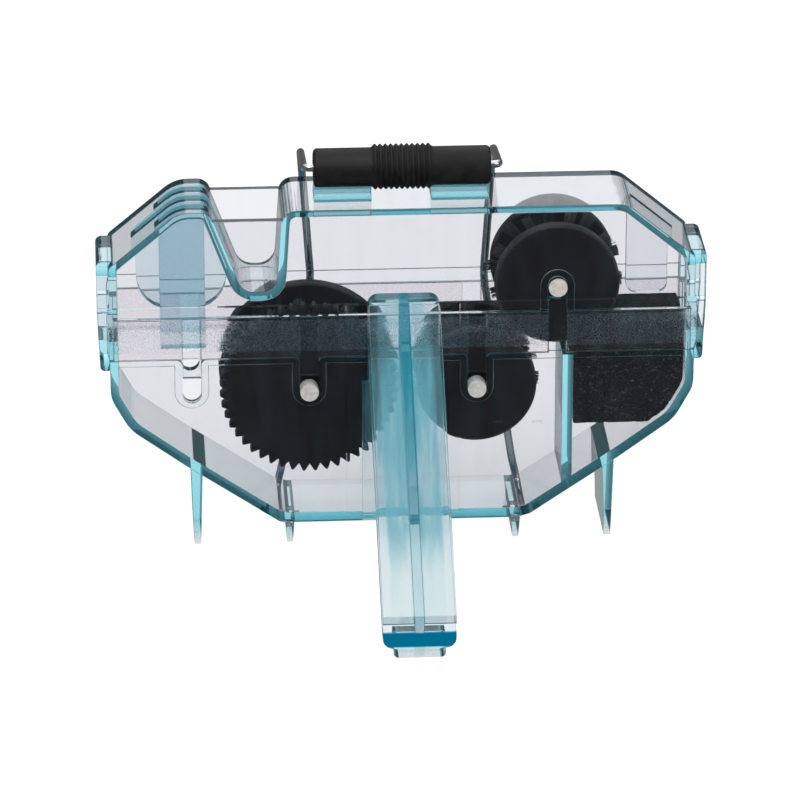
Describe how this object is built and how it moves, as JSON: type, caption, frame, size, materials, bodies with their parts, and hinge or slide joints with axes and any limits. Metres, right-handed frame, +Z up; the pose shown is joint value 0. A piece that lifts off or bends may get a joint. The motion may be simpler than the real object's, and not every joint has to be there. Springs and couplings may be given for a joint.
{
  "type": "bike chain cleaner",
  "caption": "Clear tank with a lift-off cover, a toothed wheel, two brushes and a sponge that a bicycle chain runs through, held shut by a wire bail, with a sloping handle.",
  "frame": {"origin": "middle of the part's bounding box, on the surface that its feet and handle stand on", "axes": "+X along the body towards the sponge end, +Y from the handle towards the back, +Z up"},
  "size_m": [0.1588, 0.1028, 0.1088],
  "materials": {
    "clear_blue": "clear, pale aqua, polished, with a fine frosted band at the joint",
    "handle_blue": "clear aqua, polished, deeper along its edges",
    "black_plastic": "satin moulded",
    "bristle_black": "nylon strands",
    "pin_metal": "dull, sawn ends",
    "bright_wire": "polished",
    "grip_rubber": "satin, ringed in the middle",
    "foam_black": "open-cell foam"
  },
  "bodies": {
    "tank": {"lower_housing": "clear_blue", "handle": "handle_blue", "sponge": "foam_black"},
    "cover": {"upper_housing": "clear_blue"},
    "bail": {"bail_wire": "bright_wire"},
    "grip": {"bail_grip": "grip_rubber"},
    "toothed_wheel": {"toothed_wheel_axle": "pin_metal", "toothed_wheel_front_disc": "black_plastic", "toothed_wheel_rear_disc": "black_plastic", "toothed_wheel_core": "black_plastic", "toothed_wheel_bristles": "bristle_black"},
    "lower_brush": {"lower_brush_axle": "pin_metal", "lower_brush_front_disc": "black_plastic", "lower_brush_rear_disc": "black_plastic", "lower_brush_core": "black_plastic", "lower_brush_bristles": "bristle_black"},
    "upper_brush": {"upper_brush_axle": "pin_metal", "upper_brush_front_disc": "black_plastic", "upper_brush_rear_disc": "black_plastic", "upper_brush_core": "black_plastic", "upper_brush_bristles": "bristle_black"}
  },
  "joints": [
    {"name": "bail_swing", "type": "hinge", "parent": "tank", "child": "bail", "pos_m": [0, 0.031, 0.003], "axis": [-1, 0, 0], "range_deg": [0, 85]},
    {"name": "cover_lift", "type": "slide", "parent": "tank", "child": "cover", "axis": [0, 0, 1], "range_m": [0, 0.014]},
    {"name": "grip_roll", "type": "hinge", "parent": "bail", "child": "grip", "pos_m": [0, 0.0275, 0.1029], "axis": [1, 0, 0], "continuous": true},
    {"name": "toothed_wheel_spin", "type": "hinge", "parent": "tank", "child": "toothed_wheel", "pos_m": [-0.02438, 0.035, 0.0427], "axis": [0, 1, 0], "continuous": true},
    {"name": "lower_brush_spin", "type": "hinge", "parent": "tank", "child": "lower_brush", "pos_m": [0.01943, 0.035, 0.0427], "axis": [0, 1, 0], "continuous": true},
    {"name": "upper_brush_spin", "type": "hinge", "parent": "cover", "child": "upper_brush", "pos_m": [0.04039, 0.035, 0.0705], "axis": [0, 1, 0], "continuous": true}
  ],
  "couplings": [
    {"joint": "cover_lift", "follows": "bail_swing", "m_per_rad": 0.009436}
  ]
}
